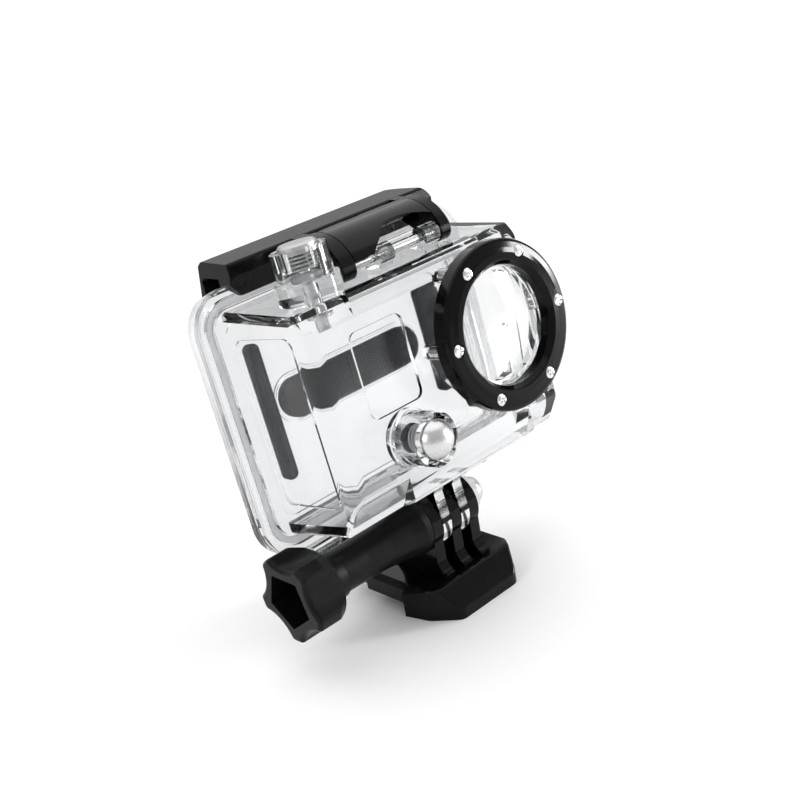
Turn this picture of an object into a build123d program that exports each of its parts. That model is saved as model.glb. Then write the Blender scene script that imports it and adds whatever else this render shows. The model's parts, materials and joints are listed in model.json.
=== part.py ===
from build123d import *
import os
from math import cos, pi, radians, sin, sqrt, tan

# Clear waterproof housing of an action camera on its three-prong quick-release buckle.
# Millimetres.  The origin is the centre of the flat underside of the buckle's nose: X runs
# along the tilt axis, the lens looks along -Y, Z is up.
# Every piece is drawn with its origin on the tilt axis.  The pieces of the mount are then
# only moved into place, and those of the housing are also leaned back about that axis.

# ---- driving dimensions: mount ----
PIVOT_Y = 8.0             # tilt axis behind the middle of the nose's underside
PIVOT_Z = 20.5            # height of the tilt axis above the underside of the buckle
TILT = 9.5                # how far the housing leans back at rest, degrees
PRONG_PITCH = 3.1         # from one prong to the next, buckle and housing prongs alternating
BUCKLE_PRONG = 3.0        # thickness of a buckle prong
HOUSING_PRONG = 2.8       # thickness of a housing prong
PRONG_R = 7.3             # rounded end of every prong
BOLT_R = 2.5              # M5 thumb bolt
BOLT_HOLE_R = 2.57
PLATFORM_Z = 8.2          # top of the buckle's platform
RAIL_Z = 3.2              # underside of the rear rails
NOSE_LIP = 2.9            # upright lip at the foot of the nose
NOSE_FRONT = -14.7
NOSE_TOP = -10.2          # where the slope of the nose meets the platform
NOSE_HALF = 9.7
SHOULDER = (14.4, -8.1)   # widening of the nose, as (x, y)
SHOULDER_HALF = 16.0
RAIL_HALF = 15.3
NOTCH_Y = -1.3
RAIL_BACK = 12.1
ARM_BACK = 21.5           # rear end of the two flexing clip arms
NUT_START = 8.5           # face of the right prong's boss, where the cap nut sits
KNOB_END = -47.0
KNOB_BACK = -35.6
KNOB_R = 10.6
SLEEVE_END = -7.9

# ---- driving dimensions: housing shell ----
BODY_HALF = 34.6          # half width of the shell
BODY_FRONT = -17.0        # front face
FLANGE_FRONT = 9.4        # front face of the shell's rear flange
FLANGE_BACK = 12.0        # parting face between shell and door
WALL = 2.3
FLANGE_HALF = 41.2        # half width of flange and door
FLANGE_LOW = 3.8
FLANGE_HIGH = 68.2
FLANGE_R = 9.5
DOOR_FRONT = 12.1
DOOR_BACK = 14.4

# ---- driving dimensions: lens ----
LENS_X = 14.6
LENS_Z = 42.0
RING_R = 19.6
RING_FRONT = -27.0
BARREL_FRONT = -22.7
BARREL_R = 16.7
SCREW_BOSS_R = 1.8
LENS_BORE_R = 14.2
RING_BORE_R = 13.7
SCREW_CIRCLE_R = 17.0
SCREW_COUNT = 6
SCREW_R = 0.8
SCREW_TIP = -18.4
SCREW_HEAD_R = 1.45
RING_CROWN = 0.35         # how far the ring's face falls from its inner to its outer edge
GLASS_R = 15.3
SEAL_BACK = -21.6         # floor of the counterbore that holds gasket and glass
SEAL_FRONT = -22.0
GLASS_FRONT = -23.6       # front of the glass's flat rim
GLASS_RISE = 2.0          # height of the dome above its rim

# ---- driving dimensions: buttons ----
POWER_X = -14.7
POWER_Z = 26.5
POWER_COLLAR_FRONT = -26.0
POWER_FLOOR = -18.2       # bottom of the power button's bore
SHUTTER_X = -21.7
SHUTTER_Y = -7.5
SHUTTER_COLLAR_TOP = 73.2
SHUTTER_FLOOR = 65.6      # bottom of the shutter button's bore
BUTTON_BORE_R = 4.7
STEM_R = 1.5
STEM_HOLE_R = 1.55

# ---- driving dimensions: latch ----
ARM_PIN_Y = -8.0          # the arm's hinge pin, across the top of the shell
ARM_PIN_Z = 64.9
ARM_PIN_R = 1.1
LEVER_PIN_Y = -0.4        # the lever's pin, in the arm's cheeks
LEVER_PIN_Z = 71.0
LEVER_PIN_R = 0.9
LATCH_LEFT = -32.7
LATCH_RIGHT = 30.7
CHEEK_LEFT = (-14.0, -10.3)
CHEEK_RIGHT = (16.9, 19.8)
LATCH_LUGS = ((-2.4, 1.8), (12.0, 16.6))
BAR_FRONT = 4.2           # front face of the latch bar
BAR_TOP = 73.6
RAMP_ANGLE = 30           # slope of the door's rear top edge under the hook, degrees

# ---- driving dimensions: door hinge ----
HINGE_Y = 12.05
HINGE_Z = 1.4
KNUCKLE_R = 2.2
HINGE_PIN_R = 1.0
PIN_CLEARANCE = 0.05

# ---- driving dimensions: gasket and pads inside the door ----
SEAL_HALF = 38.7
SEAL_LOW = 6.6
SEAL_HIGH = 65.6
SEAL_W = 1.6
SEAL_R = 7.0
PAD_FRONT = 9.7
PAD_LEFT = (-30.0, -26.5, 21.0, 54.2, 1.6)      # x0, x1, z0, z1, corner radius
PAD_BAR = (-24.8, 17.6, 33.4, 43.0, 4.7)
PAD_RIGHT = (21.0, 30.0, 22.5, 50.0, 1.6)

HOUSING = Location((0, PIVOT_Y, PIVOT_Z), (-TILT, 0, 0))
MOUNT = Location((0, PIVOT_Y, PIVOT_Z))


# ---- shared shapes ----
def block(x0, x1, y0, y1, z0, z1):
    """A rectangular block given by its faces."""
    centre = Pos((x0 + x1) / 2, (y0 + y1) / 2, (z0 + z1) / 2)
    return centre * Box(x1 - x0, y1 - y0, z1 - z0)


def rod_x(radius, x0, x1, y=0.0, z=0.0):
    """A round rod along X."""
    return Pos((x0 + x1) / 2, y, z) * Rot(0, 90, 0) * Cylinder(radius, x1 - x0)


def rod_y(radius, y0, y1, x=0.0, z=0.0):
    """A round rod along Y."""
    return Pos(x, (y0 + y1) / 2, z) * Rot(90, 0, 0) * Cylinder(radius, y1 - y0)


def rod_z(radius, z0, z1, x=0.0, y=0.0):
    """A round rod along Z."""
    return Pos(x, y, (z0 + z1) / 2) * Cylinder(radius, z1 - z0)


def slab_x(outline, x0, x1):
    """A closed outline of (y, z) points, extruded from x0 to x1."""
    side = Plane((x0, 0, 0), x_dir=(0, 1, 0), z_dir=(1, 0, 0))
    return extrude(side * make_face(Polyline(*outline, close=True)), x1 - x0)


def slab_z(outline, z0, z1):
    """A closed outline of (x, y) points, extruded from z0 to z1."""
    return extrude(Plane.XY.offset(z0) * make_face(Polyline(*outline, close=True)), z1 - z0)


def panel(x0, x1, z0, z1, radius, y0, y1):
    """A plate with rounded corners, standing across Y."""
    front = Plane(((x0 + x1) / 2, y1, (z0 + z1) / 2), x_dir=(1, 0, 0), z_dir=(0, -1, 0))
    return extrude(front * RectangleRounded(x1 - x0, z1 - z0, radius), y1 - y0)


def frame_panel(x0, x1, z0, z1, radius, width, y0, y1):
    """A rounded rectangular frame, with its band inside the given edges."""
    hole = panel(x0 + width, x1 - width, z0 + width, z1 - width, radius - width, y0 - 1, y1 + 1)
    return panel(x0, x1, z0, z1, radius, y0, y1) - hole


def turned_y(outline, x, z):
    """A shape turned about an axis along Y, from (radius, y) points."""
    half = Plane.XY * make_face(Polyline(*outline, close=True))
    return Pos(x, 0, z) * revolve(half, Axis.Y)


def turned_x(outline):
    """A shape turned about the X axis, from (x, radius) points."""
    return revolve(Plane.XY * make_face(Polyline(*outline, close=True)), Axis.X)


def edges_along(shape, axis, low, high):
    """The straight edges along an axis whose centres lie between two corners."""
    chosen = []
    for edge in shape.edges().filter_by(axis):
        centre = edge.center()
        inside_x = low[0] <= centre.X <= high[0]
        inside_y = low[1] <= centre.Y <= high[1]
        inside_z = low[2] <= centre.Z <= high[2]
        if inside_x and inside_y and inside_z:
            chosen.append(edge)
    return chosen


# ---- buckle ----
def buckle_prong(x):
    """One prong: a rounded end on a leg whose feet spread onto the platform."""
    foot = PLATFORM_Z - PIVOT_Z
    leg = 6.6
    spread = 8.9
    round_end = rod_x(PRONG_R, x - BUCKLE_PRONG / 2, x + BUCKLE_PRONG / 2)
    web = block(x - BUCKLE_PRONG / 2, x + BUCKLE_PRONG / 2, -leg, leg, foot - 1, 0)
    toe = block(x - BUCKLE_PRONG / 2, x + BUCKLE_PRONG / 2, -spread, spread, foot - 1, foot + 3.4)
    hollow_r = 4.2
    for side in (-1, 1):
        toe -= rod_x(hollow_r, x - 3, x + 3, side * (leg + hollow_r - 0.1), foot + 0.6 + hollow_r)
    return round_end + web + toe


def buckle():
    """The base: sloped nose, side rails, two flexing clip arms and three prongs."""
    nose_outline = [
        (-NOSE_HALF, NOSE_FRONT), (NOSE_HALF, NOSE_FRONT), SHOULDER, (SHOULDER_HALF, NOTCH_Y),
        (-SHOULDER_HALF, NOTCH_Y), (-SHOULDER[0], SHOULDER[1]),
    ]
    nose = slab_z(nose_outline, 0, PLATFORM_Z)
    nose = fillet(edges_along(nose, Axis.Z, (-17, -9, 0), (17, -7, 9)), 4.0)
    nose = fillet(edges_along(nose, Axis.Z, (-10, -15.5, 0), (10, -14, 9)), 2.6)
    slope = [
        (NOSE_FRONT - 1, NOSE_LIP), (NOSE_FRONT, NOSE_LIP), (NOSE_TOP, PLATFORM_Z),
        (NOSE_TOP, PLATFORM_Z + 2), (NOSE_FRONT - 1, PLATFORM_Z + 2),
    ]
    nose -= slab_x(slope, -20, 20)
    nose = fillet(edges_along(nose, Axis.X, (-1, NOSE_TOP - 0.1, 8), (1, NOSE_TOP + 0.1, 9)), 1.4)
    rim = []
    for edge in nose.edges():
        middle = edge.center()
        if middle.Z > NOSE_LIP + 0.5 and middle.Y < NOTCH_Y - 1 and abs(middle.X) > 5:
            rim.append(edge)
    nose = fillet(rim, 0.7)
    rails = block(-RAIL_HALF, RAIL_HALF, NOTCH_Y - 0.1, RAIL_BACK, RAIL_Z, PLATFORM_Z)
    base = nose + rails
    bevel = 2.0
    for side in (-1, 1):
        edge = side * (RAIL_HALF + 0.7)
        wedge = Polyline(
            (edge - side * bevel, PLATFORM_Z), (edge + side, PLATFORM_Z),
            (edge + side, PLATFORM_Z - 1.5 * bevel), (edge, PLATFORM_Z - bevel), close=True,
        )
        base -= extrude(Plane.XZ.offset(-RAIL_BACK - 1) * make_face(wedge), 30)
    for side in (-1, 1):
        base += clip_arm(side)
    base = Pos(0, 0, -PIVOT_Z) * base
    for x in (-2 * PRONG_PITCH, 0, 2 * PRONG_PITCH):
        base += buckle_prong(x)
    nut_boss_r = 5.4
    base += rod_x(nut_boss_r, 2 * PRONG_PITCH + 1, NUT_START)
    return base - rod_x(BOLT_HOLE_R, -20, 20)


def clip_arm(side):
    """A flexing arm behind the rails, with an upturned finger tab."""
    inner = 9.4
    outer = 13.6
    thick = 2.4
    x0, x1 = sorted((side * inner, side * outer))
    arm = block(x0, x1, RAIL_BACK - 0.5, ARM_BACK, RAIL_Z, RAIL_Z + thick)
    tab_outline = [
        (ARM_BACK - 3.0, RAIL_Z), (ARM_BACK, RAIL_Z), (ARM_BACK + 1.4, RAIL_Z + 5.2),
        (ARM_BACK - 0.4, RAIL_Z + 5.2),
    ]
    barb_x0, barb_x1 = sorted((side * (inner + 1), side * (RAIL_HALF - 0.4)))
    barb = block(barb_x0, barb_x1, ARM_BACK - 6.5, ARM_BACK - 3.8, RAIL_Z, RAIL_Z + thick)
    return arm + slab_x(tab_outline, x0, x1) + barb


def cap_nut():
    """Domed nut held against the right prong."""
    across_flats = 8.0
    hex_height = 3.0
    thread_depth = 4.4
    dome_r = 3.9
    hexagon = RegularPolygon(across_flats / 2, 6, major_radius=False)
    hex_part = Pos(NUT_START, 0, 0) * Rot(0, 90, 0) * extrude(hexagon, hex_height)
    dome = Pos(NUT_START + hex_height, 0, 0) * Sphere(dome_r)
    dome = dome & block(NUT_START + hex_height, NUT_START + 8, -6, 6, -6, 6)
    thread = rod_x(BOLT_R + PIN_CLEARANCE, NUT_START - 1, NUT_START + thread_depth)
    return hex_part + dome - thread


# ---- thumb screw ----
def thumb_knob():
    """Five-lobed hollow knob in one piece with its long flared sleeve."""
    lobes = 5
    flute_r = 8.6
    flute_at = 16.7
    star = Circle(KNOB_R)
    for i in range(lobes):
        angle = radians(90 + 360 / lobes * i)
        star -= Pos(flute_at * cos(angle), flute_at * sin(angle)) * Circle(flute_r)
    star = fillet(star.vertices(), 1.2)
    end_plane = Plane((KNOB_END, 0, 0), x_dir=(0, 1, 0), z_dir=(1, 0, 0))
    knob = extrude(end_plane * star, KNOB_BACK - KNOB_END)
    knob = fillet(knob.faces().sort_by(Axis.X)[0].edges(), 1.1)
    shoulder = [
        (KNOB_END - 1, 0), (KNOB_END - 1, KNOB_R - 0.9), (KNOB_END, KNOB_R - 0.4),
        (KNOB_END + 1, KNOB_R + 0.1), (KNOB_END + 6.0, KNOB_R + 0.1), (KNOB_END + 9.2, KNOB_R - 1.6),
        (KNOB_BACK, KNOB_R - 4.6), (KNOB_BACK, 0),
    ]
    knob = knob & turned_x(shoulder)
    sleeve = [
        (KNOB_BACK - 1, 0), (KNOB_BACK - 1, 6.0), (-33.4, 5.7), (-33.2, 5.2), (-26.0, 5.2), (-19.0, 5.6),
        (-13.0, 6.4), (-9.6, 7.3), (SLEEVE_END, 7.3), (SLEEVE_END, 0),
    ]
    knob += turned_x(sleeve)
    pocket_depth = 7.5
    pocket = extrude(end_plane * Rot(0, 0, 54) * RegularPolygon(7.0, lobes), pocket_depth)
    bolt_seat = rod_x(BOLT_R, KNOB_BACK - 1, 0)
    return knob - pocket - bolt_seat


def thumb_bolt():
    """M5 bolt moulded into the sleeve, with a short chamfered tip."""
    tip = NUT_START + 3.8
    bevel = 0.8
    outline = [
        (KNOB_BACK - 1, 0), (KNOB_BACK - 1, BOLT_R), (tip - bevel, BOLT_R), (tip, BOLT_R - bevel),
        (tip, 0),
    ]
    return turned_x(outline)


# ---- housing shell ----
def shell_outer():
    """The box of the shell: bevelled top and bottom front edges, roof rising to the rear."""
    side = [
        (-11.8, 10.6), (BODY_FRONT, 18.0), (BODY_FRONT, 57.0), (-14.2, 61.3), (FLANGE_FRONT + 1, 63.4),
        (FLANGE_FRONT + 1, 9.4),
    ]
    body = slab_x(side, -BODY_HALF, BODY_HALF)
    body = fillet(edges_along(body, Axis.Z, (-40, BODY_FRONT - 1, 0), (40, BODY_FRONT + 1, 70)), 2.5)
    rounded = [edge for edge in body.edges() if edge.center().Y < FLANGE_FRONT]
    body = fillet(rounded, 1.2)
    sill = [(-11.0, 10.6), (-16.2, 12.0), (BODY_FRONT, 13.0), (BODY_FRONT, 19.0), (-11.0, 19.0)]
    brow = [(-13.4, 61.9), (BODY_FRONT + 0.6, 61.3), (BODY_FRONT, 60.6), (BODY_FRONT, 55.0), (-13.4, 55.0)]
    return body + slab_x(sill, -17.8, 23.0) + slab_x(brow, -19.8, 21.0)


def shell_cavity():
    """The camera bay, open to the rear."""
    half = BODY_HALF - WALL
    side = [
        (-10.4, 12.9), (BODY_FRONT + WALL, 19.0), (BODY_FRONT + WALL, 56.0), (-12.8, 59.0),
        (FLANGE_BACK + 1, 61.1), (FLANGE_BACK + 1, 11.6),
    ]
    bay = slab_x(side, -half, half)
    return fillet(edges_along(bay, Axis.Z, (-40, BODY_FRONT, 0), (40, BODY_FRONT + 4, 70)), 3.5)


def button_collar_power():
    """Collar round the power button, with two notches that show the spring."""
    collar = rod_y(6.2, POWER_COLLAR_FRONT, BODY_FRONT + 0.5, POWER_X, POWER_Z)
    collar += rod_y(6.7, BODY_FRONT - 1.2, BODY_FRONT + 0.5, POWER_X, POWER_Z)
    return collar


def cut_power(shell):
    """Bore, notches and stem hole of the power button."""
    shell -= rod_y(BUTTON_BORE_R, POWER_COLLAR_FRONT - 1, POWER_FLOOR, POWER_X, POWER_Z)
    shell -= rod_y(STEM_HOLE_R, -20, -13, POWER_X, POWER_Z)
    for angle in (-60, 120):
        notch = Pos(0, -24.0, 5.6) * Box(3.2, 5.2, 4.0)
        shell -= Pos(POWER_X, 0, POWER_Z) * Rot(0, angle + 90, 0) * notch
    return shell


def shutter_boss():
    """Raised boss and castellated collar round the shutter button."""
    boss = rod_z(7.4, 61.4, 66.4, SHUTTER_X, SHUTTER_Y)
    collar = rod_z(6.4, 66.0, SHUTTER_COLLAR_TOP, SHUTTER_X, SHUTTER_Y)
    return boss + collar


def cut_shutter(shell):
    """Bore, castellation slots and stem hole of the shutter button."""
    shell -= rod_z(BUTTON_BORE_R, SHUTTER_FLOOR, SHUTTER_COLLAR_TOP + 1, SHUTTER_X, SHUTTER_Y)
    shell -= rod_z(STEM_HOLE_R, 56, 67, SHUTTER_X, SHUTTER_Y)
    slots = 6
    for i in range(slots):
        slot = Pos(5.6, 0, 71.2) * Box(3.4, 1.5, 4.6)
        shell -= Pos(SHUTTER_X, SHUTTER_Y, 0) * Rot(0, 0, 360 / slots * i + 15) * slot
    return shell


def latch_lugs():
    """Two knuckles on the roof that carry the latch arm's pin."""
    lugs = []
    for x0, x1 in LATCH_LUGS:
        knuckle = rod_x(2.4, x0, x1, ARM_PIN_Y, ARM_PIN_Z)
        web = block(x0, x1, ARM_PIN_Y - 0.6, ARM_PIN_Y + 4.0, 60.0, ARM_PIN_Z)
        toe = block(x0, x1, ARM_PIN_Y + 2.0, ARM_PIN_Y + 4.5, ARM_PIN_Z - 0.5, ARM_PIN_Z + 3)
        lugs.append(knuckle + web - toe)
    return lugs


def door_lugs():
    """Knuckles under the flange that hold the door's hinge pin."""
    lugs = []
    for x0, x1 in ((-30.0, -22.0), (22.0, 30.0)):
        knuckle = rod_x(KNUCKLE_R, x0, x1, HINGE_Y, HINGE_Z)
        web = block(x0, x1, FLANGE_FRONT + 0.5, FLANGE_BACK, HINGE_Z, FLANGE_LOW + 0.6)
        lugs.append(knuckle + web)
    return lugs


def housing_prong(x):
    """One clear prong hanging from the shell."""
    x0 = x - HOUSING_PRONG / 2
    x1 = x + HOUSING_PRONG / 2
    root = [(-10.0, 11.4), (-7.0, 7.0), (-PRONG_R, 0), (PRONG_R, 0), (7.0, 7.0), (9.0, 11.4)]
    return rod_x(PRONG_R, x0, x1) + slab_x(root, x0, x1)


def flange(front, back):
    """The rounded rectangle that shell and door share."""
    return panel(-FLANGE_HALF, FLANGE_HALF, FLANGE_LOW, FLANGE_HIGH, FLANGE_R, front, back)


def front_housing():
    """The clear front shell with every feature moulded on it."""
    shell = shell_outer()
    shell += flange(FLANGE_FRONT, FLANGE_BACK)
    shell += rod_y(BARREL_R, BARREL_FRONT, BODY_FRONT + 1, LENS_X, LENS_Z)
    for x, z in screw_places():
        shell += rod_y(SCREW_BOSS_R, BARREL_FRONT, BODY_FRONT + 1, x, z)
    shell += button_collar_power()
    shell += shutter_boss()
    for lug in latch_lugs() + door_lugs():
        shell += lug
    for x in (-PRONG_PITCH, PRONG_PITCH):
        shell += housing_prong(x)
    shell -= shell_cavity()
    shell -= rod_y(LENS_BORE_R, BARREL_FRONT - 1, -10, LENS_X, LENS_Z)
    shell -= rod_y(GLASS_R + 0.1, BARREL_FRONT - 1, SEAL_BACK, LENS_X, LENS_Z)
    shell -= panel(-22.6, -7.2, 33.4, 53.4, 2.0, BODY_FRONT - 1, BODY_FRONT + 0.9)
    for side in (-1, 1):
        x0, x1 = sorted((side * (BODY_HALF - 0.8), side * (BODY_HALF + 1)))
        recess = block(x0, x1, -12.6, 7.8, 17.5, 57.0)
        shell -= fillet(edges_along(recess, Axis.X, (-40, -40, 0), (40, 40, 80)), 2.5)
    room = 0.4
    shell -= frame_panel(
        -SEAL_HALF - room, SEAL_HALF + room, SEAL_LOW - room, SEAL_HIGH + room, SEAL_R + room,
        SEAL_W + 2 * room, FLANGE_BACK - 1.3, FLANGE_BACK + 1,
    )
    shell = cut_power(shell)
    shell = cut_shutter(shell)
    shell -= rod_x(HINGE_PIN_R, -31, 31, HINGE_Y, HINGE_Z)
    shell -= rod_x(ARM_PIN_R, CHEEK_LEFT[1] - 1, CHEEK_RIGHT[0] + 1, ARM_PIN_Y, ARM_PIN_Z)
    shell -= rod_x(BOLT_HOLE_R, -6, 6)
    for x, z in screw_places():
        shell -= rod_y(SCREW_R + 0.02, BARREL_FRONT - 1, SCREW_TIP + 0.3, x, z)
    return shell


# ---- lens ----
def screw_places():
    """Centres of the six ring screws, as (x, z)."""
    places = []
    for i in range(SCREW_COUNT):
        angle = 2 * pi * i / SCREW_COUNT
        places.append((LENS_X + SCREW_CIRCLE_R * cos(angle), LENS_Z + SCREW_CIRCLE_R * sin(angle)))
    return places


def lens_seal():
    """Flat gasket behind the glass."""
    outline = [
        (LENS_BORE_R, SEAL_BACK), (GLASS_R, SEAL_BACK), (GLASS_R, SEAL_FRONT),
        (LENS_BORE_R, SEAL_FRONT),
    ]
    return turned_y(outline, LENS_X, LENS_Z)


def bulge(rim_r, rise, y):
    """Half profile of a dome towards -Y: an arc from the axis out to the rim."""
    sphere_r = (rim_r * rim_r + rise * rise) / (2 * rise)
    middle = rim_r / 2
    drop = sphere_r - sqrt(sphere_r * sphere_r - middle * middle)
    return ThreePointArc((0, y - rise), (middle, y - rise + drop), (rim_r, y))


def lens_glass():
    """Clear window: a flat rim and a domed middle of nearly even thickness."""
    outer_rim = RING_BORE_R - 0.3
    inner_rim = outer_rim - 1.0
    rim = Polyline(
        (outer_rim, GLASS_FRONT), (GLASS_R, GLASS_FRONT), (GLASS_R, SEAL_FRONT),
        (inner_rim, SEAL_FRONT),
    )
    inner_rise = GLASS_RISE - 0.1
    middle = Line((0, SEAL_FRONT - inner_rise), (0, GLASS_FRONT - GLASS_RISE))
    outer_face = bulge(outer_rim, GLASS_RISE, GLASS_FRONT)
    inner_face = bulge(inner_rim, inner_rise, SEAL_FRONT)
    outline = [outer_face, rim, inner_face, middle]
    return Pos(LENS_X, 0, LENS_Z) * revolve(make_face(outline), Axis.Y)


def lens_ring():
    """Thick ring that clamps the glass, with a countersink at each screw."""
    outline = [
        (RING_BORE_R, GLASS_FRONT), (RING_BORE_R, RING_FRONT + 1.2), (RING_BORE_R + 0.9, RING_FRONT + 0.2),
        (RING_BORE_R + 1.2, RING_FRONT), (RING_BORE_R + 2.6, RING_FRONT + 0.02),
        (RING_R - 2.2, RING_FRONT + 0.2), (RING_R - 0.9, RING_FRONT + RING_CROWN),
        (RING_R - 0.25, RING_FRONT + 0.7), (RING_R, RING_FRONT + 1.3), (RING_R, BARREL_FRONT),
        (GLASS_R + 0.1, BARREL_FRONT), (GLASS_R + 0.1, GLASS_FRONT),
    ]
    ring = turned_y(outline, LENS_X, LENS_Z)
    for x, z in screw_places():
        ring -= rod_y(SCREW_R + 0.1, RING_FRONT - 1, BARREL_FRONT + 1, x, z)
        ring -= rod_y(SCREW_HEAD_R + 0.1, RING_FRONT - 1, RING_FRONT + 1.0, x, z)
    return ring


def ring_screw(x, z):
    """One crosshead screw: low domed head, cross slot and shank."""
    face = RING_FRONT - 0.15
    outline = [
        (0, face - 0.25), (0.9, face - 0.15), (SCREW_HEAD_R, face + 0.35), (SCREW_HEAD_R, RING_FRONT + 1.0),
        (SCREW_R, RING_FRONT + 1.0), (SCREW_R, SCREW_TIP), (0, SCREW_TIP),
    ]
    screw = turned_y(outline, x, z)
    turn = 20 + 37 * x
    for quarter in (0, 90):
        slot = Box(2.1, 0.9, 0.42)
        screw -= Pos(x, face, z) * Rot(0, turn + quarter, 0) * slot
    return screw


def lens_ring_screws():
    """The six ring screws."""
    return Compound(children=[ring_screw(x, z) for x, z in screw_places()])


# ---- buttons ----
def spring(radius, wire, length, turns):
    """A compression spring along +Z, starting at the origin."""
    path = Helix(pitch=length / turns, height=length, radius=radius)
    start = Plane(path @ 0, z_dir=path % 0)
    return sweep(start * Circle(wire), path=path)


def retaining_clip(outer, inner, thick):
    """An open clip across Z at the origin, with a mouth towards +X."""
    clip = Cylinder(outer, thick) - Cylinder(inner, thick + 1)
    return clip - Pos(outer, 0, 0) * Box(2 * outer, 1.4, thick + 1)


POWER_SPOT = Location((POWER_X, 0, POWER_Z), (90, 0, 0))      # local +Z looks along -Y
SHUTTER_SPOT = Location((SHUTTER_X, SHUTTER_Y, 0))
ORING_GAP = 0.06          # keeps each O-ring just clear of the floor of its bore
POWER_ORING = (2.45, 0.9)       # radius and section radius
SHUTTER_ORING = (2.55, 1.0)
SPRING_WIRE = 0.35
CLIP = (3.0, 1.15, 0.6)         # outer radius, inner radius, thickness
CLIP_GROOVE_R = 1.1
POWER_GROOVE = (13.6, 14.3)
SHUTTER_GROOVE = (57.0, 57.7)


def groove(span):
    """Cutter for the ring groove that holds a retaining clip on a stem."""
    low, high = span
    return rod_z(STEM_R + 1, low, high) - rod_z(CLIP_GROOVE_R, low - 1, high + 1)


def power_button_dome():
    """Polished dome on a short skirt."""
    base = 25.2
    radius = 4.45
    rise = 2.9
    cap_r = (radius * radius + rise * rise) / (2 * rise)
    skirt_top = base + 1.2
    dome = Pos(0, 0, skirt_top + rise - cap_r) * Sphere(cap_r) & rod_z(radius, skirt_top, skirt_top + 5)
    button = rod_z(radius, base, skirt_top) + dome
    return POWER_SPOT * (button - rod_z(STEM_R, base - 1, base + 0.8))


def power_button_stem():
    """Stem that passes the wall to press the camera's own button."""
    return POWER_SPOT * (rod_z(STEM_R, 11.6, 26.0) - groove(POWER_GROOVE))


def shutter_button_cap():
    """Flat-topped cap with a chamfered rim."""
    low = 72.2
    top = 74.4
    cap = rod_z(4.4, low, top)
    cap = chamfer(cap.edges().group_by(Axis.Z)[-1], 0.5)
    return SHUTTER_SPOT * (cap - rod_z(STEM_R, low - 1, low + 0.9))


def shutter_button_stem():
    """Stem that passes the roof to press the camera's shutter."""
    return SHUTTER_SPOT * (rod_z(STEM_R, 54.6, 73.1) - groove(SHUTTER_GROOVE))


def power_button_spring():
    """Return spring between the O-ring and the dome."""
    return POWER_SPOT * Pos(0, 0, 20.6) * spring(2.9, SPRING_WIRE, 4.1, 4.5)


def shutter_button_spring():
    """Return spring between the O-ring and the cap."""
    return SHUTTER_SPOT * Pos(0, 0, 68.3) * spring(3.2, SPRING_WIRE, 3.5, 4.0)


def power_button_oring():
    """O-ring round the power stem, on the floor of its bore."""
    radius, section = POWER_ORING
    return POWER_SPOT * Pos(0, 0, ORING_GAP + section - POWER_FLOOR) * Torus(radius, section)


def shutter_button_oring():
    """O-ring round the shutter stem, on the floor of its bore."""
    radius, section = SHUTTER_ORING
    return SHUTTER_SPOT * Pos(0, 0, ORING_GAP + section + SHUTTER_FLOOR) * Torus(radius, section)


def stem_clip(spot, span):
    """Retaining clip in the middle of a stem's groove."""
    return spot * Pos(0, 0, (span[0] + span[1]) / 2) * retaining_clip(*CLIP)


# ---- latch ----
def latch_bar():
    """The bar across the top, hooked over the door's sloped rear edge."""
    hook_in = DOOR_BACK + 1.2
    above_ramp = 0.35
    hook_z = FLANGE_HIGH + above_ramp - (hook_in - DOOR_FRONT) * tan(radians(RAMP_ANGLE))
    roof_z = 71.2
    outline = [
        (BAR_FRONT, BAR_TOP), (13.6, 74.9), (15.2, 73.9), (17.6, hook_z - 0.1), (hook_in, hook_z),
        (hook_in - 0.2, roof_z - 0.8), (hook_in - 1.0, roof_z), (FLANGE_FRONT - 0.6, roof_z - 0.6),
        (FLANGE_FRONT - 0.6, 65.6), (7.2, 65.6), (BAR_FRONT, 70.6),
    ]
    bar = slab_x(outline, LATCH_LEFT, LATCH_RIGHT)
    middle = (LATCH_LEFT + LATCH_RIGHT) / 2
    bar = fillet(edges_along(bar, Axis.X, (middle - 1, 4, 73), (middle + 1, 16, 76)), 0.9)
    low_corner = Polyline(
        (LATCH_LEFT - 1, 64), (LATCH_LEFT - 1, 69.0), (LATCH_LEFT, 69.0), (LATCH_LEFT + 5.5, 64),
        close=True,
    )
    front = Plane((0, FLANGE_FRONT, 0), x_dir=(1, 0, 0), z_dir=(0, -1, 0))
    bar -= extrude(front * make_face(low_corner), 10)
    round_r = 7.5
    round_z = 67.4
    round_end = Pos(LATCH_RIGHT - round_r, 10, round_z) * Rot(90, 0, 0) * Cylinder(round_r, 30)
    corner = block(LATCH_RIGHT - round_r, LATCH_RIGHT + 1, -5, 25, round_z, 80)
    bar -= corner - round_end
    return bar


FAN_TOP = (2.0, 73.3)          # (y, z) ends of the latch's curved front
FAN_FOOT = (-10.75, ARM_PIN_Z + 1.0)
LEVER_TOP = (-0.3, 73.53)      # upper edge of the lever, on the same curve
TAB_FRONT = 1.9                # tabs that reach from the bar into the slot
SLOT_TABS = ((-6.4, 1.0), (5.6, 14.2))
TAB_HEIGHTS = (71.9, 73.1)


def fan_front():
    """Side view of the latch's curved front, from the bar down to the arm's pin."""
    return ThreePointArc(FAN_TOP, (-7.4, 70.9), FAN_FOOT)


def latch_cheek(x0, x1):
    """A fan-shaped cheek from the bar to the arm's pin."""
    overlap = BAR_FRONT + 0.4
    back = Polyline(
        FAN_FOOT, (ARM_PIN_Y, ARM_PIN_Z - 2.2), (-1.0, 66.2), (overlap, 70.2), (overlap, BAR_TOP),
        FAN_TOP,
    )
    side = Plane((x0, 0, 0), x_dir=(0, 1, 0), z_dir=(1, 0, 0))
    cheek = extrude(side * make_face([fan_front(), back]), x1 - x0)
    return cheek + rod_x(2.75, x0, x1, ARM_PIN_Y, ARM_PIN_Z)


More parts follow.
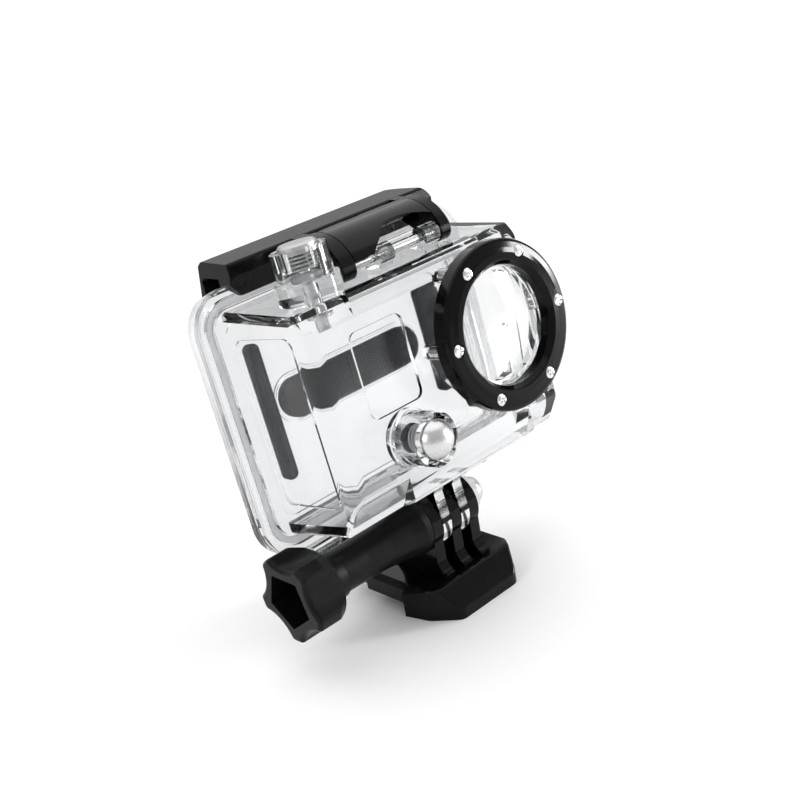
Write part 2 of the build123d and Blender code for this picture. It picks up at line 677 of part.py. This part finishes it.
def latch_arm():
    """Bar, cheeks and the holes for both pins."""
    arm = latch_bar()
    for x0, x1 in (CHEEK_LEFT, CHEEK_RIGHT):
        arm += latch_cheek(x0, x1)
    for x0, x1 in SLOT_TABS:
        arm += block(x0, x1, TAB_FRONT, BAR_FRONT + 0.4, *TAB_HEIGHTS)
    x0 = CHEEK_LEFT[0]
    x1 = CHEEK_RIGHT[1]
    arm -= rod_x(ARM_PIN_R + PIN_CLEARANCE, x0 - 1, x1 + 1, ARM_PIN_Y, ARM_PIN_Z)
    return arm - rod_x(LEVER_PIN_R, x0 + 1.2, x1 - 1.2, LEVER_PIN_Y, LEVER_PIN_Z)


def latch_lever():
    """Curved finger lever between the cheeks, with a scooped lower edge."""
    gap = 0.25
    x0 = CHEEK_LEFT[1] + gap
    x1 = CHEEK_RIGHT[0] - gap
    outer = ThreePointArc(LEVER_TOP, (-7.4, 70.9), FAN_FOOT)
    inner = ThreePointArc((-9.75, ARM_PIN_Z + 2.05), (-6.4, 69.5), (-0.3, 71.1))
    side = Plane((x0, 0, 0), x_dir=(0, 1, 0), z_dir=(1, 0, 0))
    ends = [Line(outer @ 1, inner @ 0), Line(inner @ 1, outer @ 0)]
    lever = extrude(side * make_face([outer, inner] + ends), x1 - x0)
    knuckle_r = 1.9
    lever += rod_x(knuckle_r, x0, x1, LEVER_PIN_Y, LEVER_PIN_Z)
    wave = Spline(
        (x0 + 5.0, 64.0), (x0 + 6.5, 66.6), (x0 + 9.5, 68.6), (x0 + 12.5, 70.6), (x0 + 17.0, 71.3),
        (x0 + 22.5, 70.7), (x1 + 1, 69.0),
    )
    below = Polyline(wave @ 1, (x1 + 1, 62.0), (x0 + 5.0, 62.0), wave @ 0)
    front = Plane((0, -5.0, 0), x_dir=(1, 0, 0), z_dir=(0, -1, 0))
    lever -= extrude(front * make_face([wave, below]), 10)
    return lever - rod_x(LEVER_PIN_R + PIN_CLEARANCE, x0 - 1, x1 + 1, LEVER_PIN_Y, LEVER_PIN_Z)


def latch_arm_pin():
    """Pin through the roof knuckles and both cheeks."""
    return rod_x(ARM_PIN_R, CHEEK_LEFT[0] + 0.3, CHEEK_RIGHT[1] - 0.3, ARM_PIN_Y, ARM_PIN_Z)


def latch_lever_pin():
    """Pin held in the cheeks, under the lever's rear edge."""
    return rod_x(LEVER_PIN_R, CHEEK_LEFT[0] + 1.2, CHEEK_RIGHT[1] - 1.2, LEVER_PIN_Y, LEVER_PIN_Z)


# ---- door ----
def rear_door():
    """Clear rear door: stepped flange, panel, sloped top edge and hinge knuckles."""
    door = flange(DOOR_FRONT, DOOR_BACK)
    door -= panel(-31.5, 31.5, 12.0, 60.0, 4.0, DOOR_BACK - 0.7, DOOR_BACK + 1)
    beyond = DOOR_BACK + 1
    drop = (beyond - DOOR_FRONT) * tan(radians(RAMP_ANGLE))
    ramp = [
        (DOOR_FRONT, FLANGE_HIGH), (beyond, FLANGE_HIGH - drop), (beyond, FLANGE_HIGH + 1),
        (DOOR_FRONT, FLANGE_HIGH + 1),
    ]
    door -= slab_x(ramp, -FLANGE_HALF - 1, FLANGE_HALF + 1)
    for x0, x1 in ((-21.7, -12.0), (12.0, 21.7)):
        door += rod_x(KNUCKLE_R, x0, x1, HINGE_Y, HINGE_Z)
        door += block(x0, x1, DOOR_FRONT, DOOR_BACK, HINGE_Z, FLANGE_LOW + 0.6)
    x0, x1, z0, z1, radius = PAD_BAR
    rim = 1.1
    rim_r = radius + rim - 0.1
    rim_front = DOOR_FRONT - 0.6
    door += frame_panel(
        x0 - rim, x1 + rim, z0 - rim, z1 + rim, rim_r, 0.5, rim_front, DOOR_FRONT + 0.1,
    )
    return door - rod_x(HINGE_PIN_R + PIN_CLEARANCE, -31, 31, HINGE_Y, HINGE_Z)


def door_pad(place):
    """A foam pad stuck to the inner face of the door."""
    x0, x1, z0, z1, radius = place
    return panel(x0, x1, z0, z1, radius, PAD_FRONT, DOOR_FRONT)


def door_seal():
    """Rubber gasket that closes the flange."""
    front = FLANGE_BACK - 1.0
    return frame_panel(
        -SEAL_HALF, SEAL_HALF, SEAL_LOW, SEAL_HIGH, SEAL_R, SEAL_W, front, DOOR_FRONT,
    )


def door_hinge_pin():
    """Long steel pin through the knuckles under the flange."""
    return rod_x(HINGE_PIN_R, -30, 30, HINGE_Y, HINGE_Z)


# ---- assembly ----
ON_MOUNT = {
    "buckle": buckle(),
    "cap_nut": cap_nut(),
    "thumb_knob": thumb_knob(),
    "thumb_bolt": thumb_bolt(),
}

ON_HOUSING = {
    "front_housing": front_housing(),
    "lens_seal": lens_seal(),
    "lens_glass": lens_glass(),
    "lens_ring": lens_ring(),
    "lens_ring_screws": lens_ring_screws(),
    "power_button_dome": power_button_dome(),
    "power_button_stem": power_button_stem(),
    "power_button_spring": power_button_spring(),
    "power_button_oring": power_button_oring(),
    "power_button_clip": stem_clip(POWER_SPOT, POWER_GROOVE),
    "shutter_button_cap": shutter_button_cap(),
    "shutter_button_stem": shutter_button_stem(),
    "shutter_button_spring": shutter_button_spring(),
    "shutter_button_oring": shutter_button_oring(),
    "shutter_button_clip": stem_clip(SHUTTER_SPOT, SHUTTER_GROOVE),
    "latch_arm": latch_arm(),
    "latch_lever": latch_lever(),
    "latch_arm_pin": latch_arm_pin(),
    "latch_lever_pin": latch_lever_pin(),
    "rear_door": rear_door(),
    "door_seal": door_seal(),
    "door_hinge_pin": door_hinge_pin(),
    "door_pad_left": door_pad(PAD_LEFT),
    "door_pad_bar": door_pad(PAD_BAR),
    "door_pad_right": door_pad(PAD_RIGHT),
}

parts = {}
for name, shape in ON_MOUNT.items():
    parts[name] = MOUNT * shape
for name, shape in ON_HOUSING.items():
    parts[name] = HOUSING * shape

os.makedirs("parts", exist_ok=True)
for name, shape in parts.items():
    export_step(shape, f"parts/{name}.step")
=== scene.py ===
import bmesh
import bpy
import json
from math import cos, pi, radians, sin
from mathutils import Matrix, Vector


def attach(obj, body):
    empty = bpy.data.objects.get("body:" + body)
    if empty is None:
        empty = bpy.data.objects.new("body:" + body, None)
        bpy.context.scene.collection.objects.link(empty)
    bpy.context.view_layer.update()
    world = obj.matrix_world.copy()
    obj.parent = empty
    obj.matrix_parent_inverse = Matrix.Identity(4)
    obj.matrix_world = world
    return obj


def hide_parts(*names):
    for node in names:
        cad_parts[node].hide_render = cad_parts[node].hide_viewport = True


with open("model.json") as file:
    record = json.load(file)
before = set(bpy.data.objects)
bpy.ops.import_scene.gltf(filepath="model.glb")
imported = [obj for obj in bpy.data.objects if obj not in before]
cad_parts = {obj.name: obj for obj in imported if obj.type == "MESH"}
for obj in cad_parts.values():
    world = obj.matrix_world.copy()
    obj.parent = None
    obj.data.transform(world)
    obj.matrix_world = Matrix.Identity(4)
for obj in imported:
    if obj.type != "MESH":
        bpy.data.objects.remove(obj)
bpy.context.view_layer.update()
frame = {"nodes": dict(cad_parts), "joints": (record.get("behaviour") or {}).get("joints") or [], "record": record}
NODES = frame["nodes"]
JOINTS = {joint["name"]: joint for joint in frame["joints"]}

# The housing leans back about the tilt axis; LEAN takes its upright form to where it stands.
MM = 0.001
TILT_DEG = 9.5
PIVOT = Vector(JOINTS["tilt"]["pos_m"])
LEAN = Matrix.Translation(PIVOT) @ Matrix.Rotation(radians(-TILT_DEG), 4, "X")
UPRIGHT = LEAN.inverted()


# ---- node materials ----
class Mat:
    """A small helper that builds one Principled material with procedural detail."""

    def __init__(self, name, **sockets):
        self.material = bpy.data.materials.new(name)
        self.material.use_nodes = True
        self.tree = self.material.node_tree
        self.shader = self.tree.nodes["Principled BSDF"]
        self.coords = self.tree.nodes.new("ShaderNodeTexCoord")
        for socket, value in sockets.items():
            self.shader.inputs[socket.replace("_", " ")].default_value = value

    def node(self, kind, inputs=None, **settings):
        """A new node, its inputs linked to a socket or set to a value."""
        made = self.tree.nodes.new(kind)
        for key, value in settings.items():
            setattr(made, key, value)
        for key, value in (inputs or {}).items():
            if isinstance(value, bpy.types.NodeSocket):
                self.tree.links.new(value, made.inputs[key])
            else:
                made.inputs[key].default_value = value
        return made

    def place(self, scale=(1, 1, 1)):
        """Object coordinates, in metres, stretched by scale."""
        mapping = self.node("ShaderNodeMapping", {"Vector": self.coords.outputs["Object"]})
        mapping.inputs["Scale"].default_value = scale
        return mapping.outputs["Vector"]

    def noise(self, size, detail=3.0, rough=0.5, stretch=(1, 1, 1)):
        """Noise whose grain is about size metres."""
        found = self.node("ShaderNodeTexNoise", {
            "Vector": self.place(stretch), "Scale": 1.0 / size, "Detail": detail, "Roughness": rough,
        })
        return found.outputs["Fac"]

    def span(self, value, low, high, out_low=0.0, out_high=1.0):
        """value from low..high remapped to out_low..out_high, clamped."""
        made = self.node("ShaderNodeMapRange", {
            "Value": value, "From Min": low, "From Max": high, "To Min": out_low, "To Max": out_high,
        })
        return made.outputs["Result"]

    def blend(self, factor, first, second):
        """Colour mixed from first to second by factor."""
        made = self.node("ShaderNodeMix", {0: factor, 6: first, 7: second}, data_type="RGBA")
        return made.outputs[2]

    def drive(self, socket, value):
        """Links a value to a socket of the shader."""
        self.tree.links.new(value, self.shader.inputs[socket])

    def bump(self, height, distance):
        """Fine relief, distance metres deep."""
        made = self.node("ShaderNodeBump", {"Height": height, "Distance": distance, "Strength": 1.0})
        self.drive("Normal", made.outputs["Normal"])


def grey(value):
    """An opaque neutral colour."""
    return (value, value, value, 1.0)


def clear_plastic(name, ior, roughness, tint=(0.99, 0.99, 0.99, 1.0)):
    """Polished clear moulding: faint flow waves and fine handling marks."""
    mat = Mat(name, Base_Color=tint, Transmission_Weight=1.0, IOR=ior)
    marks = mat.span(mat.noise(0.0006, 2.0, 0.6, (1, 1, 0.12)), 0.62, 0.75)
    mat.drive("Roughness", mat.span(marks, 0.0, 1.0, roughness, roughness + 0.05))
    mat.bump(mat.noise(0.012, 1.0, 0.4), 0.00003)
    return mat.material


def black_plastic(name, value, roughness, grain, depth, patch=0.08, gloss=0.35):
    """Moulded black plastic: even colour with a faint grain and smudged gloss."""
    mat = Mat(name, IOR=1.5, Specular_IOR_Level=gloss)
    shade = mat.span(mat.noise(0.004, 4.0), 0.3, 0.7)
    mat.drive("Base Color", mat.blend(shade, grey(value * 0.8), grey(value * 1.25)))
    smudge = mat.span(mat.noise(0.009, 5.0, 0.6), 0.35, 0.7)
    mat.drive("Roughness", mat.span(smudge, 0.0, 1.0, roughness, roughness + patch))
    mat.bump(mat.noise(grain, 2.0, 0.6), depth)
    return mat.material


def steel(name, value, roughness, lines=(1, 1, 1), depth=0.000004):
    """Machined or polished steel, with fine tool lines along one direction."""
    mat = Mat(name, Metallic=1.0)
    streak = mat.noise(0.0004, 3.0, 0.6, lines)
    mat.drive("Base Color", mat.blend(streak, grey(value * 0.86), grey(min(1.0, value * 1.08))))
    mat.drive("Roughness", mat.span(streak, 0.3, 0.7, roughness, roughness + 0.1))
    mat.bump(streak, depth)
    return mat.material


def rubber(name, value):
    """Matt rubber with a fine pebble."""
    mat = Mat(name, Roughness=0.75)
    fleck = mat.noise(0.0003, 3.0, 0.7)
    mat.drive("Base Color", mat.blend(fleck, grey(value * 0.8), grey(value * 1.2)))
    mat.bump(fleck, 0.00002)
    return mat.material


def silicone(name):
    """Milky translucent silicone."""
    mat = Mat(name, Transmission_Weight=0.85, IOR=1.41)
    cloud = mat.noise(0.003, 3.0, 0.6)
    mat.drive("Base Color", mat.blend(cloud, (0.9, 0.91, 0.91, 1), (0.97, 0.97, 0.97, 1)))
    mat.drive("Roughness", mat.span(cloud, 0.3, 0.7, 0.35, 0.5))
    mat.bump(mat.noise(0.0004, 2.0), 0.00001)
    return mat.material


def foam(name):
    """Closed-cell foam: charcoal with lighter specks and a cellular surface."""
    mat = Mat(name, Roughness=0.93, Specular_IOR_Level=0.25)
    specks = mat.span(mat.noise(0.00045, 2.0, 0.7), 0.55, 0.75)
    cloud = mat.span(mat.noise(0.004, 4.0, 0.6), 0.3, 0.7)
    base = mat.blend(cloud, (0.026, 0.027, 0.029, 1), (0.046, 0.048, 0.051, 1))
    mat.drive("Base Color", mat.blend(specks, base, (0.13, 0.135, 0.14, 1)))
    cells = mat.node("ShaderNodeTexVoronoi", {"Vector": mat.place(), "Scale": 2600.0})
    mat.bump(cells.outputs["Distance"], 0.00012)
    return mat.material


MATERIALS = {
    "clear_shell": clear_plastic("clear_shell", 1.3, 0.05, (0.865, 0.872, 0.878, 1.0)),
    "lens_glass": clear_plastic("lens_glass", 1.5, 0.0),
    "ring_black": black_plastic("ring_black", 0.002, 0.05, 0.0004, 0.000003, 0.05, 0.13),
    "latch_black": black_plastic("latch_black", 0.003, 0.22, 0.00035, 0.00002, 0.08, 0.13),
    "lever_black": black_plastic("lever_black", 0.002, 0.12, 0.0005, 0.00001, 0.06, 0.18),
    "buckle_black": black_plastic("buckle_black", 0.002, 0.1, 0.0004, 0.000012, 0.06, 0.15),
    "knob_black": black_plastic("knob_black", 0.004, 0.3, 0.00035, 0.00002, 0.08, 0.14),
    "screw_steel": steel("screw_steel", 0.8, 0.16),
    "button_steel": steel("button_steel", 0.66, 0.24),
    "stem_steel": steel("stem_steel", 0.62, 0.2, (1, 0.1, 1)),
    "spring_steel": steel("spring_steel", 0.4, 0.3),
    "cap_grey": steel("cap_grey", 0.5, 0.3),
    "nut_steel": steel("nut_steel", 0.66, 0.18),
    "seal_rubber": rubber("seal_rubber", 0.02),
    "door_seal_rubber": silicone("door_seal_rubber"),
    "pad_foam": foam("pad_foam"),
}

for entry in frame["record"]["subparts"]:
    mesh = NODES[entry["node"]].data
    mesh.materials.clear()
    mesh.materials.append(MATERIALS[entry["material_slot"]])


# ---- foam pads ----
def rounded_outline(width, height, radius, steps=10):
    """Points round a rectangle with rounded corners, centred on the origin."""
    points = []
    for i, (sx, sz) in enumerate(((1, 1), (-1, 1), (-1, -1), (1, -1))):
        for k in range(steps + 1):
            angle = pi / 2 * (i + k / steps)
            x = sx * (width / 2 - radius) + radius * cos(angle)
            z = sz * (height / 2 - radius) + radius * sin(angle)
            points.append((x, z))
    return points


def foam_pad(node, radius):
    """A die-cut foam pad: flat against the door, softly rounded and slightly crowned in front."""
    corners = [UPRIGHT @ vertex.co for vertex in NODES[node].data.vertices]
    low = Vector([min(corner[i] for corner in corners) for i in range(3)])
    high = Vector([max(corner[i] for corner in corners) for i in range(3)])
    middle = (low + high) / 2
    depth = high.y - low.y
    width = high.x - low.x
    height = high.z - low.z
    edge = 0.55 * MM
    last_step = 4
    layers = [(high.y - 0.02 * MM, 0.12 * MM)]
    for k in range(last_step + 1):
        turn = pi / 2 * k / last_step
        layers.append((low.y + edge * (1 - sin(turn)), edge * (1 - cos(turn)) + 0.02 * MM))
    work = bmesh.new()
    rings = []
    for y, inset in layers:
        outline = rounded_outline(width - 2 * inset, height - 2 * inset, max(radius - inset, 0.2 * MM))
        rings.append([work.verts.new((middle.x + x, y, middle.z + z)) for x, z in outline])
    count = len(rings[0])
    for first, second in zip(rings, rings[1:]):
        for i in range(count):
            work.faces.new((first[i], first[(i + 1) % count], second[(i + 1) % count], second[i]))
    work.faces.new(list(reversed(rings[0])))
    work.faces.new(rings[-1])
    bmesh.ops.recalc_face_normals(work, faces=work.faces)
    bmesh.ops.transform(work, matrix=LEAN, verts=work.verts)
    mesh = bpy.data.meshes.new(node + "_foam")
    work.to_mesh(mesh)
    work.free()
    for polygon in mesh.polygons:
        polygon.use_smooth = len(polygon.vertices) == 4
    pad = bpy.data.objects.new(node + "_foam", mesh)
    bpy.context.scene.collection.objects.link(pad)
    mesh.materials.append(MATERIALS["pad_foam"])
    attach(pad, "door")
    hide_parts(node)


foam_pad("door_pad_left", 1.6 * MM)
foam_pad("door_pad_bar", 4.7 * MM)
foam_pad("door_pad_right", 1.6 * MM)


# ---- floor, lights and camera ----
def area_light(name, place, aim, size, power):
    """A rectangular softbox turned towards a point."""
    light = bpy.data.lights.new(name, "AREA")
    light.shape = "RECTANGLE"
    light.size, light.size_y = size
    light.energy = power
    lamp = bpy.data.objects.new(name, light)
    bpy.context.scene.collection.objects.link(lamp)
    lamp.location = place
    lamp.rotation_euler = (Vector(aim) - Vector(place)).to_track_quat("-Z", "Y").to_euler()


def sun_light(name, towards, spread, strength):
    """Broad soft daylight from one side of the sky."""
    light = bpy.data.lights.new(name, "SUN")
    light.angle = radians(spread)
    light.energy = strength
    lamp = bpy.data.objects.new(name, light)
    bpy.context.scene.collection.objects.link(lamp)
    lamp.rotation_euler = Vector(towards).to_track_quat("Z", "Y").to_euler()


def floor():
    """Plain white floor that fills the view."""
    size = 4.0
    corners = [(-size, -size, 0), (size, -size, 0), (size, size, 0), (-size, size, 0)]
    mesh = bpy.data.meshes.new("floor")
    mesh.from_pydata(corners, [], [(0, 1, 2, 3)])
    plane = bpy.data.objects.new("floor", mesh)
    bpy.context.scene.collection.objects.link(plane)
    mat = Mat("floor_white", Base_Color=grey(0.93), Roughness=0.7, Specular_IOR_Level=0.3)
    mesh.materials.append(mat.material)


floor()
world = bpy.data.worlds.new("studio")
bpy.context.scene.world = world
world.use_nodes = True
world.node_tree.nodes["Background"].inputs["Color"].default_value = grey(1.0)
world.node_tree.nodes["Background"].inputs["Strength"].default_value = 0.6

sun_light("sky_box", (0.3, 0.35, 1.0), 100, 1.7)
area_light("left_fill", (-0.75, -0.1, 0.45), (0, 0, 0.04), (0.2, 0.4), 1.3)
area_light("right_strip", (0.55, -0.4, 0.1), (0, 0, 0.05), (0.1, 0.32), 4.5)

camera_data = bpy.data.cameras.new("camera")
camera_data.lens = 58.5
camera_data.sensor_width = 36.0
camera_data.clip_start = 0.01
camera = bpy.data.objects.new("camera", camera_data)
bpy.context.scene.collection.objects.link(camera)
camera.location = (-0.1851, -0.2027, 0.1660)
VIEW = Vector((0.6015, 0.7028, -0.3799))
ROLL = radians(10.07)
level = VIEW.to_track_quat("-Z", "Y").to_matrix().to_4x4()
camera.rotation_euler = (level @ Matrix.Rotation(-ROLL, 4, "Z")).to_euler()
bpy.context.scene.camera = camera
bpy.context.scene.view_settings.view_transform = "Standard"
bpy.context.scene.cycles.max_bounces = 24
bpy.context.scene.cycles.transmission_bounces = 24

bpy.context.view_layer.update()
